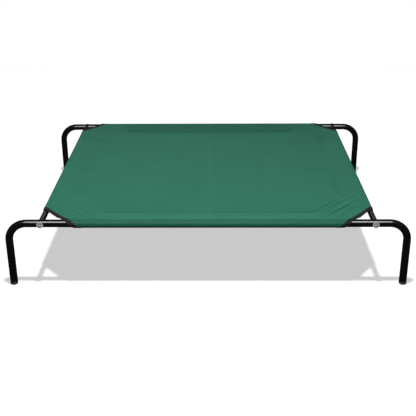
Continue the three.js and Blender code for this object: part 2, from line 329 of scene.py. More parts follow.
# ---- Fasteners --------------------------------------------------------------------------------
# An M6 pan-head bolt with a cross recess and a wide flat washer outside each rail, screwed into a
# barbed insert pressed into the end of the cross tube. All are bright zinc plated.
washer_low, washer_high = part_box("front_right_washer")
insert_low, insert_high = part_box("front_right_insert")
HEAD_RADIUS = (bolt_high.x - bolt_low.x) / 2
HEAD_HEIGHT = 0.0044
SHANK_RADIUS = 0.003
THREAD_LENGTH = 0.018
THREAD_PITCH = 0.001
THREAD_DEPTH = 0.0006
RECESS_SPAN = 0.0032
RECESS_WIDTH = 0.0008
RECESS_DEPTH = 0.0026
WASHER_RADIUS = (washer_high.x - washer_low.x) / 2
WASHER_BORE = 0.0033
WASHER_CHAMFER = 0.0003
INSERT_RADIUS = (insert_high.x - insert_low.x) / 2
INSERT_BARBS = 6
BARB_DEPTH = 0.0004
ZINC_COLOUR = (0.66, 0.67, 0.69)
ZINC_DULL = (0.56, 0.58, 0.62)
ZINC_BRIGHT = (0.72, 0.72, 0.71)


def zinc_plate():
    """Fine turning marks are rings about the bolt axes, which lie at the same distance either side."""
    material, tree, shader = new_material("bright_zinc_plate", ZINC_COLOUR, 0.3, {"Metallic": 1.0})
    place = add_node(tree, "ShaderNodeTexCoord").outputs["Object"]
    mirrored = add_node(tree, "ShaderNodeVectorMath", operation="ABSOLUTE")
    centred = add_node(tree, "ShaderNodeMapping", {"Location": (-BOLT_X, 0, -RAIL_AXIS_Z)})
    rings = add_node(tree, "ShaderNodeTexWave", {"Scale": 900, "Distortion": 1.5, "Detail": 1},
                     wave_type="RINGS", rings_direction="Y")
    tree.links.new(place, mirrored.inputs[0])
    tree.links.new(mirrored.outputs["Vector"], centred.inputs["Vector"])
    tree.links.new(centred.outputs["Vector"], rings.inputs["Vector"])
    colour_between(tree, shader, ZINC_DULL, ZINC_BRIGHT, noise_on(tree, place, 260, 3))
    bump_from(tree, shader, rings.outputs["Fac"], 0.12, 0.0001)
    return material


def turned_rings(profile, x, end_sign):
    """Rings of a turned piece: profile is (distance, radius), with the distance running inwards in Y."""
    rings = []
    for along, radius in profile:
        rings.append((Vector((x, end_sign * -along, RAIL_AXIS_Z)), AXIS_X, AXIS_Z, radius))
    return rings


def thread(along):
    """The radius round a screw thread, at that distance along it."""
    def radius(angle):
        phase = (along / THREAD_PITCH - angle / (2 * math.pi)) % 1
        return SHANK_RADIUS - THREAD_DEPTH * abs(2 * phase - 1)
    return radius


def recess_cutter(x, end_sign, head_y):
    """A tapered cross, wider at the head's face."""
    wing = ((RECESS_SPAN, -RECESS_WIDTH), (RECESS_SPAN, RECESS_WIDTH), (RECESS_WIDTH, RECESS_WIDTH))
    outline = []
    for quarter in range(4):
        turn = Matrix.Rotation(quarter * math.pi / 2, 2)
        outline += [turn @ Vector(corner) for corner in wing]
    vertices = []
    for depth, share in ((-0.002, 1.3), (RECESS_DEPTH, 0.62)):
        y = head_y - end_sign * depth
        vertices += [(x + p.x * share, y, RAIL_AXIS_Z + p.y * share) for p in outline]
    count = len(outline)
    faces = ring_faces(2, count, closed=False)
    faces += [tuple(range(count)), tuple(reversed(range(count, 2 * count)))]
    return outward_mesh("recess", vertices, faces)


def bolt_mesh(x, end_sign, outer_y, inner_y):
    """outer_y is the crown of the head and inner_y the bolt's point, both as distances from the middle."""
    crown = -outer_y
    under = crown + HEAD_HEIGHT
    tip = -inner_y
    head = []
    for turn in np.linspace(0, math.pi / 2, 9)[1:]:
        head.append((crown + 0.7 * HEAD_HEIGHT * (1 - math.cos(turn)), HEAD_RADIUS * math.sin(turn)))
    profile = [(crown, 0)] + head
    burr = 0.0002
    profile += [(under - burr, HEAD_RADIUS), (under, HEAD_RADIUS - burr), (under, SHANK_RADIUS)]
    start = tip - THREAD_LENGTH
    profile.append((start, SHANK_RADIUS))
    for along in np.arange(start + THREAD_PITCH / 2, tip - THREAD_PITCH, THREAD_PITCH / 6):
        profile.append((along, thread(along)))
    profile += [(tip - THREAD_PITCH / 2, SHANK_RADIUS - THREAD_DEPTH), (tip, 0.0016), (tip, 0)]
    body = ring_shell("bolt", turned_rings(profile, x, end_sign), 32, closed=False)
    return cut_away(body, recess_cutter(x, end_sign, end_sign * outer_y))


def washer_mesh(x, end_sign, outer_y, inner_y):
    profile = [
        (-outer_y, WASHER_BORE + WASHER_CHAMFER),
        (-outer_y, WASHER_RADIUS - 2 * WASHER_CHAMFER),
        (-outer_y + 0.4 * WASHER_CHAMFER, WASHER_RADIUS - 0.6 * WASHER_CHAMFER),
        (-outer_y + WASHER_CHAMFER, WASHER_RADIUS),
        (-inner_y - WASHER_CHAMFER / 3, WASHER_RADIUS),
        (-inner_y, WASHER_RADIUS - WASHER_CHAMFER / 3),
        (-inner_y, WASHER_BORE),
        (-outer_y + WASHER_CHAMFER, WASHER_BORE),
    ]
    return ring_shell("washer", turned_rings(profile, x, end_sign), 48, closed=True)


def insert_mesh(x, end_sign, outer_y, inner_y):
    bore = SHANK_RADIUS + 0.0003
    mouth = 0.0005
    lead = 0.0008
    plain = 0.002
    near, far = -outer_y, -inner_y
    profile = [(near, bore + mouth), (near, INSERT_RADIUS - 0.0003), (near + 0.0003, INSERT_RADIUS)]
    step = (far - near - 2 * plain) / INSERT_BARBS
    for i in range(INSERT_BARBS):
        start = near + plain + i * step
        profile += [(start, INSERT_RADIUS), (start + 0.2 * step, INSERT_RADIUS - BARB_DEPTH)]
        profile.append((start + step, INSERT_RADIUS))
    profile += [(far - lead, INSERT_RADIUS), (far, INSERT_RADIUS - lead), (far, bore + mouth)]
    profile += [(far - mouth, bore), (near + mouth, bore)]
    return ring_shell("insert", turned_rings(profile, x, end_sign), 48, closed=True)


zinc = zinc_plate()
for corner, end_sign, side in CORNERS:
    for kind, build in (("bolt", bolt_mesh), ("washer", washer_mesh), ("insert", insert_mesh)):
        node = f"{corner}_{kind}"
        low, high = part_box(node)
        near, far = sorted((abs(low.y), abs(high.y)))
        mesh = build(side * BOLT_X, end_sign, far, near)
        piece = link_object(f"{node}_plated", mesh, zinc, sharp_angle=28)
        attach(piece, "root")
        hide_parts(node)

# ---- Foot caps --------------------------------------------------------------------------------
# A moulded black plastic plug in the bottom of each leg: a finned stem inside the tube and a band
# of the tube's own width under it, with a rounded lower edge and a shallow dish in its sole.
cap_low, cap_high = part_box("front_left_foot_cap")
CAP_RADIUS = (cap_high.x - cap_low.x) / 2
CAP_BAND = LEG_FOOT_Z - 0.0003
CAP_EDGE = 0.0025
CAP_STEM = RAIL_RADIUS - RAIL_WALL - 0.0003
CAP_CORE = CAP_STEM - 0.0006
CAP_BORE = CAP_STEM - 0.0026
CAP_FINS = 4
CAP_COLOUR = (0.012, 0.012, 0.012)
CAP_DARK = (0.010, 0.010, 0.010)
CAP_LIGHT = (0.017, 0.017, 0.017)


def cap_plastic():
    material, tree, shader = new_material("moulded_black_plastic", CAP_COLOUR, 0.48)
    place = add_node(tree, "ShaderNodeTexCoord").outputs["Object"]
    colour_between(tree, shader, CAP_DARK, CAP_LIGHT, noise_on(tree, place, 160, 3))
    bump_from(tree, shader, noise_on(tree, place, 2400, 2), 0.25, 0.0001)
    return material


def cap_mesh(x, y):
    top = cap_high.z
    sole = CAP_RADIUS - CAP_EDGE
    dish = 0.0008
    profile = [(dish, 0), (dish, sole - 0.003), (dish / 2, sole - 0.0024), (0, sole - 0.0018), (0, sole)]
    for turn in np.linspace(0, math.pi / 2, 9)[1:]:
        profile.append((CAP_EDGE * (1 - math.cos(turn)), sole + CAP_EDGE * math.sin(turn)))
    profile += [(CAP_BAND - 0.0003, CAP_RADIUS), (CAP_BAND, CAP_RADIUS - 0.0003), (CAP_BAND, CAP_CORE)]
    step = (top - CAP_BAND) / (CAP_FINS + 1)
    for i in range(CAP_FINS):
        start = CAP_BAND + (i + 0.5) * step
        profile += [(start, CAP_CORE), (start + 0.0002, CAP_STEM), (start + 0.0016, CAP_CORE)]
    profile += [(top - 0.0008, CAP_CORE), (top, CAP_CORE - 0.0008), (top, CAP_BORE)]
    profile += [(CAP_BAND / 2, CAP_BORE), (CAP_BAND / 2, 0)]
    rings = [(Vector((x, y, height)), AXIS_X, AXIS_Y, radius) for height, radius in profile]
    return ring_shell("cap", rings, 48, closed=False)


plastic = cap_plastic()
for corner, end_sign, side in CORNERS:
    cap_at = cap_mesh(side * LEG_X, end_sign * RAIL_Y)
    cap = link_object(f"{corner}_foot_cap_moulded", cap_at, plastic)
    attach(cap, "root")
    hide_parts(f"{corner}_foot_cap")

# ---- Sheet ------------------------------------------------------------------------------------
# One piece of coated plain-weave polyester, cut with its corners off at 45 degrees. Each edge goes
# round its tube and back under the panel to a turned hem with two rows of stitches, so the pull of
# the sleeves brings the hem seams down to the tubes' axes and the panel hangs between them.
CLOTH = 0.0008
CLOTH_GAP = 0.00075
PLY_GAP = 0.0001
MOUNTS = {mount["name"]: mount for mount in frame["record"]["mounts"]}
PANEL_Z = MOUNTS["sleeping_surface"]["pos_m"][2] - CLOTH / 2
END_HEM = 0.060
SIDE_HEM = 0.067
HEM_TURN = 0.008
HEM_END = 0.001
STITCH_ROWS = (0.0, 0.006)
CORNER_CUT = 0.064
CLOTH_SETBACK = 0.0014
SAG = 0.003
HALF_X = CROSS_X
HALF_Y = RAIL_Y
FOLD_X = 0.0045
FOLD_Y = -0.012
# the width of the painted highlight along the long fold crease
CREASE_HIGHLIGHT_WIDTH = 0.0065
EDGE_STEP = 0.005
SEAM_STEP = 0.0011
NEAR_STEP = 0.0042
PANEL_STEP = 0.009
LONG_FOLD_STEP = 0.0015
SHORT_FOLD_STEP = 0.0025
FABRIC_COLOUR = (0.0235, 0.166, 0.105)
FABRIC_DARK = (0.0215, 0.158, 0.099)
FABRIC_LIGHT = (0.0295, 0.190, 0.123)
FABRIC_SHEEN = (0.45, 0.85, 0.72, 1)


class Sleeve:
    """A sleeve's section. Across is the distance inboard of the tube's axis, and height is above it.
    It starts where the upper ply leaves the tube, and runs round the tube to the end of the hem."""

    def __init__(self, tube_radius, hem_depth):
        self.radius = tube_radius + CLOTH_GAP + CLOTH / 2
        seam = PANEL_Z - RAIL_AXIS_Z
        under = seam - CLOTH - PLY_GAP
        leave = math.atan2(seam, hem_depth) + math.acos(self.radius / math.hypot(hem_depth, seam))
        back = math.atan2(under, hem_depth) - math.acos(self.radius / math.hypot(hem_depth, under))
        angles = np.linspace(leave, 2 * math.pi + back, 160)
        arc = [(self.radius * math.cos(a), self.radius * math.sin(a)) for a in angles]
        self.start, self.start_height = arc[0]
        fold = CLOTH / 2 + PLY_GAP
        turn_at = hem_depth + HEM_TURN
        half_turn = np.linspace(0, math.pi, 9)
        bend = [(turn_at + fold * math.sin(a), under - fold + fold * math.cos(a)) for a in half_turn]
        last = (hem_depth - HEM_END, under - 2 * fold)
        line = np.array(arc + [(hem_depth, under)] + bend + [last])
        steps = np.hypot(*np.diff(line, axis=0).T)
        self.along = np.concatenate(([0], np.cumsum(steps)))
        self.line = line
        self.arc_length = self.along[len(arc) - 1]
        self.seam_at = self.along[len(arc)]
        self.turn_at = self.along[len(arc) + 1]
        self.length = self.along[-1]

    def point(self, along):
        return np.interp(along, self.along, self.line[:, 0]), np.interp(along, self.along, self.line[:, 1])

    def rows(self):
        """Distances along the section with a fine step round the tube and the hem's fold."""
        wrap = np.linspace(0, self.arc_length, 15)
        ply = np.linspace(self.arc_length, self.seam_at, 4)[1:]
        fold = np.linspace(self.turn_at, self.turn_at + math.pi * (CLOTH / 2 + PLY_GAP), 4)
        return np.concatenate((wrap, ply, fold, [self.length]))


end_sleeve = Sleeve(RAIL_RADIUS, END_HEM)
side_sleeve = Sleeve(CROSS_RADIUS, SIDE_HEM)
EDGE_U = side_sleeve.start
EDGE_V = end_sleeve.start
CLOTH_CUT = CORNER_CUT + CLOTH_SETBACK
# where the hem seams end at the slanting edge, as distances in from the tubes' axes
END_SEAM_FROM = CLOTH_CUT + end_sleeve.seam_at - EDGE_V
SIDE_SEAM_FROM = CLOTH_CUT + side_sleeve.seam_at - EDGE_U


def neighbours(padded):
    """The four neighbours of each cell of a grid that has been padded by one."""
    return padded[2:, 1:-1], padded[:-2, 1:-1], padded[1:-1, 2:], padded[1:-1, :-2]


def mirrored_pad(grid):
    """The grid padded by one: zeros beyond its two near edges, and a mirror at its two far edges."""
    padded = np.pad(grid, 1)
    padded[-1, :] = padded[-3, :]
    padded[:, -1] = padded[:, -3]
    return padded


def relax(fixed, heights, active, load, ratio, rounds=1400, pull=1.965):
    """A taut film's heights on a quarter of the sheet, held where fixed is true. The two far edges of
    the grid are the middle lines of the sheet, so the film is level across them."""
    z = heights.copy()
    weights = neighbours(mirrored_pad(active.astype(float)))
    weights = (weights[0], weights[1], ratio * weights[2], ratio * weights[3])
    total = np.maximum(sum(weights), 1e-9)
    rows, columns = np.indices(z.shape)
    free = active & ~fixed
    colours = [free & ((rows + columns) % 2 == parity) for parity in (0, 1)]
    for _ in range(rounds):
        for colour in colours:
            around = neighbours(mirrored_pad(z))
            mean = (sum(w * n for w, n in zip(weights, around)) - load) / total
            z[colour] += pull * (mean - z)[colour]
    return z


def panel_film():
    """The panel's heights above the tube axes, on a grid of u and v over one quarter."""
    u = np.linspace(EDGE_U, HALF_X, 175)
    v = np.linspace(EDGE_V, HALF_Y, 157)
    grid_u, grid_v = np.meshgrid(u, v, indexing="ij")
    active = grid_u + grid_v >= CORNER_CUT - 0.002
    seam_u = u[np.argmin(abs(u - SIDE_HEM))]
    seam_v = v[np.argmin(abs(v - END_HEM))]
    on_end = (grid_v == seam_v) & (grid_u >= END_SEAM_FROM)
    on_side = (grid_u == seam_u) & (grid_v >= SIDE_SEAM_FROM)
    held = on_end | on_side
    held[:, 0] = True
    held[0, :] = True
    heights = np.full(active.shape, PANEL_Z - RAIL_AXIS_Z)
    heights[:, 0] = end_sleeve.start_height
    heights[0, :] = side_sleeve.start_height
    ratio = ((u[1] - u[0]) / (v[1] - v[0])) ** 2
    taut = relax(held, heights, active, 0.0, ratio)
    hang = relax(held, np.zeros_like(heights), active, 1e-6, ratio)
    return u, v, taut + hang * (SAG / -hang.min())


film_u, film_v, film = panel_film()


def film_height(u, v):
    """The film's height at any u and v, between the grid's points."""
    def cell(x, places):
        at = np.clip((x - places[0]) / (places[1] - places[0]), 0, len(places) - 1.001)
        return at.astype(int), at % 1

    i, past_i = cell(u, film_u)
    j, past_j = cell(v, film_v)
    near = film[i, j] * (1 - past_j) + film[i, j + 1] * past_j
    far = film[i + 1, j] * (1 - past_j) + film[i + 1, j + 1] * past_j
    return near * (1 - past_i) + far * past_i


def smooth_step(x, low, high):
    t = np.clip((x - low) / (high - low), 0, 1)
    return t * t * (3 - 2 * t)


def ridge(x, height, width):
    """A rounded ridge of that height along x = 0."""
    return height * np.exp(-((x / width) ** 2))


# heights and widths of the small ridges and dips in the panel
SWELLS = (0.00035, 0.00012)
LONG_FOLD = (0.0005, 0.0035)
BESIDE_LONG_FOLD = (-0.0004, 0.010)
SHORT_FOLD = (0.0003, 0.0045)
BETWEEN_ROWS = (0.0004, 0.0022)
STITCH_ROW = (-0.0003, 0.0014)
PUCKER = (0.00012, 0.012)
PULL_PITCHES = (0.023, 0.0145)
# how deep the pull creases are at each corner
CORNER_PULLS = {(-1, -1): 0.0006, (1, -1): 0.0018, (-1, 1): 0.0005, (1, 1): 0.0006}


def pull_creases(u, v, depth, phase):
    """Creases that run beside the corner cut, from rail to cross tube, and fan out a little."""
    out = (u + v) / math.sqrt(2)
    beside = (u - v) / math.sqrt(2)
    spread = out * (1 + 4.8 * beside * beside)
    wide, narrow = (2 * math.pi * spread / pitch for pitch in PULL_PITCHES)
    waves = 0.6 * np.sin(wide + phase + 6 * beside)
    waves += 0.4 * np.sin(narrow + 2.3 * phase - 9 * beside)
    near = smooth_step(out, 0.058, 0.085) * ridge(out - 0.125, 1, 0.042)
    return waves * near * ridge(beside, depth, 0.10)


def unevenness(x, y):
    """Slow swells of the panel, and smaller ones on them."""
    slow = np.sin(11 * x + 1.3) * np.sin(9 * y + 0.4) + 0.6 * np.sin(23 * x - 17 * y + 2.0)
    quick = np.sin(61 * x + 3 * np.sin(8 * y)) * np.sin(47 * y + 1.1)
    return SWELLS[0] * slow + SWELLS[1] * quick


def fold_creases(x, y):
    """The low ridges left by folding the sheet in half each way."""
    from_x = x - FOLD_X - 0.0008 * np.sin(9 * y)
    from_y = y - FOLD_Y - 0.0008 * np.sin(7 * x)
    return ridge(from_x, *LONG_FOLD) + ridge(from_x - 0.012, *BESIDE_LONG_FOLD) + ridge(from_y, *SHORT_FOLD)


def seam_relief(from_seam, from_end, across, pucker_pitch, pucker_drift):
    """Beside a hem seam: a dip at each row of stitches, a ridge between, and a pucker along them."""
    between = sum(STITCH_ROWS) / 2
    rows = ridge(from_seam - between, *BETWEEN_ROWS)
    rows = rows + sum(ridge(from_seam - row, *STITCH_ROW) for row in STITCH_ROWS)
    pucker = np.sin(2 * math.pi * across / pucker_pitch + 2 * np.sin(pucker_drift * across))
    return rows * smooth_step(from_end, -0.02, 0.01) + pucker * ridge(from_seam, *PUCKER)


def cloth_relief(x, y):
    """Small heights on the taut panel: seams, fold creases, pull creases and slow unevenness."""
    u = HALF_X - abs(x)
    v = HALF_Y - abs(y)
    relief = unevenness(x, y) + fold_creases(x, y)
    relief += seam_relief(v - END_HEM, u - END_SEAM_FROM, x, 0.021, 14)
    relief += seam_relief(u - SIDE_HEM, v - SIDE_SEAM_FROM, y, 0.019, 12)
    for (side, end_sign), depth in CORNER_PULLS.items():
        here = (np.sign(x) == side) & (np.sign(y) == end_sign)
        relief += np.where(here, pull_creases(u, v, depth, 1.7 * side + end_sign), 0)
    return relief * smooth_step(u, 0.003, 0.03) * smooth_step(v, 0.003, 0.03)


# how far the cloth has slid outwards at each corner, along the rail and along the cross tube
CORNER_SLIDES = {
    (-1, -1): (0.004, 0.0), (1, -1): (0.009, 0.0),
    (-1, 1): (0.013, 0.014), (1, 1): (0.008, 0.010),
}


def corner_slide(x, y):
    """The shifts of x and y near the corners, each only along its own tube where the cloth wraps it."""
    u = HALF_X - abs(x)
    v = HALF_Y - abs(y)
    share = np.clip((u / np.maximum(u + v, 0.001) - 0.15) / 0.65, 0, 1)
    near = 1 - smooth_step(u + v, CORNER_CUT, 0.32)
    shift_x = np.zeros_like(x)
    shift_y = np.zeros_like(y)
    for (side, end_sign), (by_rail, by_cross) in CORNER_SLIDES.items():
        here = near * (np.sign(x) == side) * (np.sign(y) == end_sign)
        shift_x += here * share * side * by_rail
        shift_y += here * (1 - share) * end_sign * by_cross
    return shift_x, shift_y


def cloth_point(p, q):
    """Where a point of the flat cut lies on the bed. p and q are its distances from the cut's middle."""
    p = np.asarray(p, float)
    q = np.asarray(q, float)
    beyond_end = abs(q) - (HALF_Y - EDGE_V)
    beyond_side = abs(p) - (HALF_X - EDGE_U)
    x, y = p.copy(), q.copy()
    z = RAIL_AXIS_Z + film_height(HALF_X - abs(p), HALF_Y - abs(q)) + cloth_relief(p, q)
    across, height = end_sleeve.point(np.maximum(beyond_end, 0))
    y = np.where(beyond_end > 0, np.sign(q) * (HALF_Y - across), y)
    z = np.where(beyond_end > 0, RAIL_AXIS_Z + height, z)
    across, height = side_sleeve.point(np.maximum(beyond_side, 0))
    x = np.where(beyond_side > 0, np.sign(p) * (HALF_X - across), x)
    z = np.where(beyond_side > 0, RAIL_AXIS_Z + height, z)
    shift_x, shift_y = corner_slide(x, y)
    return np.stack((x + shift_x, y + shift_y, z), axis=-1)


def spaced(first, *zones):
    """Distances from first on. Each zone is the step in it and where it ends."""
    places = [first]
    for step, last in zones:
        count = max(1, round((last - places[-1]) / step))
        places += np.linspace(places[-1], last, count + 1)[1:].tolist()
    return np.array(places)


def sheet_grid():
    """The flat cut's points and faces: the panel, then a flap beyond each edge, with shared edges.
    The steps are finest along the hem seams and the fold creases."""
    kink_v = CLOTH_CUT - EDGE_U
    half_rows = spaced(EDGE_V, (EDGE_STEP, END_HEM - 0.0025), (SEAM_STEP, kink_v),
                       (SEAM_STEP, END_HEM + 0.0085), (NEAR_STEP, 0.2), (PANEL_STEP, HALF_Y - 0.02),
                       (SHORT_FOLD_STEP, HALF_Y))
    rows = np.concatenate((HALF_Y - half_rows, -(HALF_Y - half_rows)[-2::-1]))
    half_columns = spaced(EDGE_U, (EDGE_STEP, SIDE_HEM - 0.0025), (SEAM_STEP, SIDE_HEM + 0.0085),
                          (NEAR_STEP, 0.2), (PANEL_STEP, HALF_X - 0.015), (LONG_FOLD_STEP, HALF_X))
    shares = (HALF_X - half_columns) / (HALF_X - EDGE_U)
    shares = np.concatenate((shares, -shares[-2::-1]))
    points = []
    faces = []

    def add_strip(line):
        start = len(points)
        points.extend(line)
        return list(range(start, start + len(line)))

    def join(first, second, flip):
        for a, b, c, d in zip(first, first[1:], second[1:], second):
            faces.append((a, b, c, d) if flip else (d, c, b, a))

    panel = []
    for q in rows:
        reach = HALF_X - max(EDGE_U, CLOTH_CUT - (HALF_Y - abs(q)))
        panel.append(add_strip([(share * reach, q) for share in shares]))
    for first, second in zip(panel, panel[1:]):
        join(first, second, flip=True)
    for sign, last in ((1, panel[0]), (-1, panel[-1])):
        for along in end_sleeve.rows()[1:]:
            q = HALF_Y - EDGE_V + along
            reach = HALF_X - CLOTH_CUT + EDGE_V - along
            strip = add_strip([(share * reach, sign * q) for share in shares])
            join(last, strip, flip=sign < 0)
            last = strip
    limit = HALF_Y - kink_v
    straight = [i for i, q in enumerate(rows) if abs(q) <= limit + 1e-9]
    for sign, column in ((1, 0), (-1, -1)):
        last = [panel[i][column] for i in straight]
        for along in side_sleeve.rows()[1:]:
            p = HALF_X - EDGE_U + along
            strip = add_strip([(sign * p, rows[i] / limit * (limit - along)) for i in straight])
            join(last, strip, flip=sign > 0)
            last = strip
    return np.array(points), faces


def math_on(tree, operation, *values):
    """A Math node's output. Each value is another node's output, or a number."""
    made = add_node(tree, "ShaderNodeMath", operation=operation)
    for socket, value in zip(made.inputs, values):
        if isinstance(value, bpy.types.NodeSocket):
            tree.links.new(value, socket)
        else:
            socket.default_value = value
    return made.outputs["Value"]


def cloth_fabric():
    """Green coated polyester: yarns over and under in both directions, on the cloth's own flat map."""
    material, tree, shader = new_material("green_coated_polyester", FABRIC_COLOUR, 0.5, {
        "Specular IOR Level": 0.2, "Sheen Weight": 0.04, "Sheen Roughness": 0.45, "Sheen Tint": FABRIC_SHEEN})
    flat = add_node(tree, "ShaderNodeUVMap", uv_map="flat").outputs["UV"]
    yarns = []
    for direction in ("X", "Y"):
        twist = {"Scale": 310.0, "Distortion": 0.6, "Detail": 2, "Detail Scale": 3}
        yarn = add_node(tree, "ShaderNodeTexWave", twist, wave_type="BANDS", bands_direction=direction,
                        wave_profile="SIN")
        tree.links.new(flat, yarn.inputs["Vector"])
        yarns.append(yarn.outputs["Fac"])
    cloudy = noise_on(tree, flat, 14, 4, 0.6)
    fine = noise_on(tree, flat, 900, 2, 0.6)
    mottle = math_on(tree, "MULTIPLY_ADD", fine, 0.35, cloudy)
    # painted highlight: the cloth's colour is lighter along the long fold crease across its middle, standing
    # in for light catching the crease
    place = add_node(tree, "ShaderNodeSeparateXYZ")
    tree.links.new(flat, place.inputs["Vector"])
    from_fold = math_on(tree, "ABSOLUTE", math_on(tree, "SUBTRACT", place.outputs["X"], FOLD_X))
    painted_crease_highlight = ramp_on(tree, from_fold, (0, CREASE_HIGHLIGHT_WIDTH), (0.5, 0), interpolation_type="SMOOTHSTEP")
    shade = math_on(tree, "ADD", mottle, painted_crease_highlight)
    colour_between(tree, shader, FABRIC_DARK, FABRIC_LIGHT, shade, given=(0.4, 1.5))
    bump_from(tree, shader, math_on(tree, "MAXIMUM", *yarns), 0.35, 0.0002)
    return material


def lay_flat(mesh, name, places):
    """A UV map of that name that puts each of the mesh's points at its place in the flat cut."""
    corners = np.zeros(len(mesh.loops), np.int32)
    mesh.loops.foreach_get("vertex_index", corners)
    flat_map = mesh.uv_layers.new(name=name)
    flat_map.data.foreach_set("uv", places[corners].astype(np.float32).ravel())


def build_sheet(material):
    points, faces = sheet_grid()
    mesh = bpy.data.meshes.new("bed_sheet_cloth")
    mesh.from_pydata(cloth_point(points[:, 0], points[:, 1]).tolist(), [], faces)
    lay_flat(mesh, "flat", points)
    mesh.update()
    made = link_object("bed_sheet_cloth", mesh, material, sharp_angle=80)
    thick = made.modifiers.new("thickness", "SOLIDIFY")
    thick.thickness = CLOTH
    thick.offset = 0
    thick.use_even_offset = True
    solid = evaluated_mesh(made)
    return link_object("bed_sheet_cloth", solid, material, sharp_angle=60)


fabric = cloth_fabric()
sheet = build_sheet(fabric)
# the cut is a rectangle less a triangle at each corner
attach(sheet, "root")
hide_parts("bed_sheet")
tubes = [f"{corner}_rail_tube" for corner, _, _ in CORNERS]
tubes += [f"{hand}_cross_tube_coated" for hand, _ in SIDES]

# ---- Corner bindings --------------------------------------------------------------------------
# Black grosgrain tape, folded over the cut edge at each corner and stitched through. It follows the
# slanting edge round both tubes and along the lower plies to the hem seams.
TAPE_WIDTH = 0.012
TAPE = 0.00045
TAPE_GAP = 0.00004
TAPE_STITCH = 0.0095
TAPE_COLOUR = (0.0035, 0.0035, 0.004)
TAPE_DARK = (0.0022, 0.0022, 0.0025)
TAPE_LIGHT = (0.005, 0.005, 0.0055)


def corner_flat(side, end_sign, along, inward):
    """A point of the flat cut near a corner: along the slanting edge, and inward from its outer line."""
    share = inward / math.sqrt(2)
    slide = along / math.sqrt(2)
    u = CORNER_CUT / 2 + slide + share
    v = CORNER_CUT / 2 - slide + share
    return side * (HALF_X - u), end_sign * (HALF_Y - v)


def cloth_frame(p, q):
    """The cloth's point and its outward normal at points of the flat cut."""
    step = 0.0004
    here = cloth_point(p, q)
    across = cloth_point(p + step, q) - cloth_point(p - step, q)
    up = cloth_point(p, q + step) - cloth_point(p, q - step)
    normal = np.cross(across, up)
    normal /= np.maximum(np.linalg.norm(normal, axis=-1, keepdims=True), 1e-12)
    return here, normal


def tape_section():
    """The folded tape's closed outline as (inward, above) pairs, above being off the cloth's middle."""
    rim = CLOTH / 2 + TAPE + TAPE_GAP
    core = CLOTH / 2 + TAPE_GAP
    turns = np.linspace(math.pi / 2, 3 * math.pi / 2, 9)
    outside = [(rim + rim * math.cos(a), rim * math.sin(a)) for a in turns]
    inside = [(rim + core * math.cos(a), core * math.sin(a)) for a in turns]
    flats = np.linspace(TAPE_WIDTH, rim, 7)[:-1]

    def straight(above, inwards):
        return [(inward, above) for inward in inwards]

    outline = straight(rim, flats) + outside + straight(-rim, flats[::-1])
    outline += straight(-core, flats) + inside[::-1] + straight(core, flats[::-1])
    return np.array(outline)


def tape_reach():
    """How far the tape runs either way from the middle of the corner, to the hem seams."""
    root = math.sqrt(2)
    end_run = (CORNER_CUT / 2 + end_sleeve.turn_at - EDGE_V - TAPE_WIDTH / root) * root
    side_run = (CORNER_CUT / 2 + side_sleeve.turn_at - EDGE_U - TAPE_WIDTH / root) * root
    return -side_run, end_run


def build_tape(side, end_sign, name, material):
    start, stop = tape_reach()
    stations = np.linspace(start, stop, 190)
    outline = tape_section()
    rings = []
    flats = []
    for inward, above in outline:
        p, q = corner_flat(side, end_sign, stations, inward)
        here, normal = cloth_frame(p, q)
        rings.append(here + above * normal)
        flats.append(np.stack((stations, np.full_like(stations, inward + above)), axis=-1))
    points = np.array(rings)
    count, length = points.shape[:2]
    vertices = points.reshape(-1, 3).tolist()
    faces = []
    for i in range(count):
        j = (i + 1) % count
        for k in range(length - 1):
            faces.append((i * length + k, j * length + k, j * length + k + 1, i * length + k + 1))
    half = count // 2
    for k in (0, length - 1):
        for i in range(half - 1):
            faces.append((i * length + k, (i + 1) * length + k, (count - 2 - i) * length + k,
                          (count - 1 - i) * length + k))
    mesh = outward_mesh(name, vertices, faces)
    lay_flat(mesh, "tape", np.array(flats).reshape(-1, 2))
    return link_object(name, mesh, material, sharp_angle=50)


def grosgrain():
    """Black tape with fine ribs across it."""
    material, tree, shader = new_material("black_grosgrain", TAPE_COLOUR, 0.8, {
        "Specular IOR Level": 0.2, "Sheen Weight": 0.02})
    flat = add_node(tree, "ShaderNodeUVMap", uv_map="tape").outputs["UV"]
    ribs = add_node(tree, "ShaderNodeTexWave", {"Scale": 330, "Distortion": 0.4, "Detail": 1},
                    wave_type="BANDS", bands_direction="X")
    tree.links.new(flat, ribs.inputs["Vector"])
    colour_between(tree, shader, TAPE_DARK, TAPE_LIGHT, noise_on(tree, flat, 500, 3))
    bump_from(tree, shader, ribs.outputs["Fac"], 0.5, 0.0002)
    return material


tape_cloth = grosgrain()
for corner, end_sign, side in CORNERS:
    tape = build_tape(side, end_sign, f"{corner}_binding_tape", tape_cloth)
    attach(tape, "root")
    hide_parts(f"{corner}_binding")

# ---- Stitching --------------------------------------------------------------------------------
# Lockstitch in bonded polyester thread: two green rows along each hem, and a black row through the
# tape at each corner, on the upper and the lower face.
STITCH_PITCH = 0.0036
STITCH_LENGTH = 0.0031
THREAD_THICKNESS = 0.0005
STITCH_LEAN = 0.06
STITCH_EDGE = 0.0015
SEAM_END = 0.004
GREEN_THREAD = ((0.016, 0.085, 0.055), (0.03, 0.14, 0.095))
BLACK_THREAD = ((0.006, 0.006, 0.006), (0.015, 0.015, 0.015))


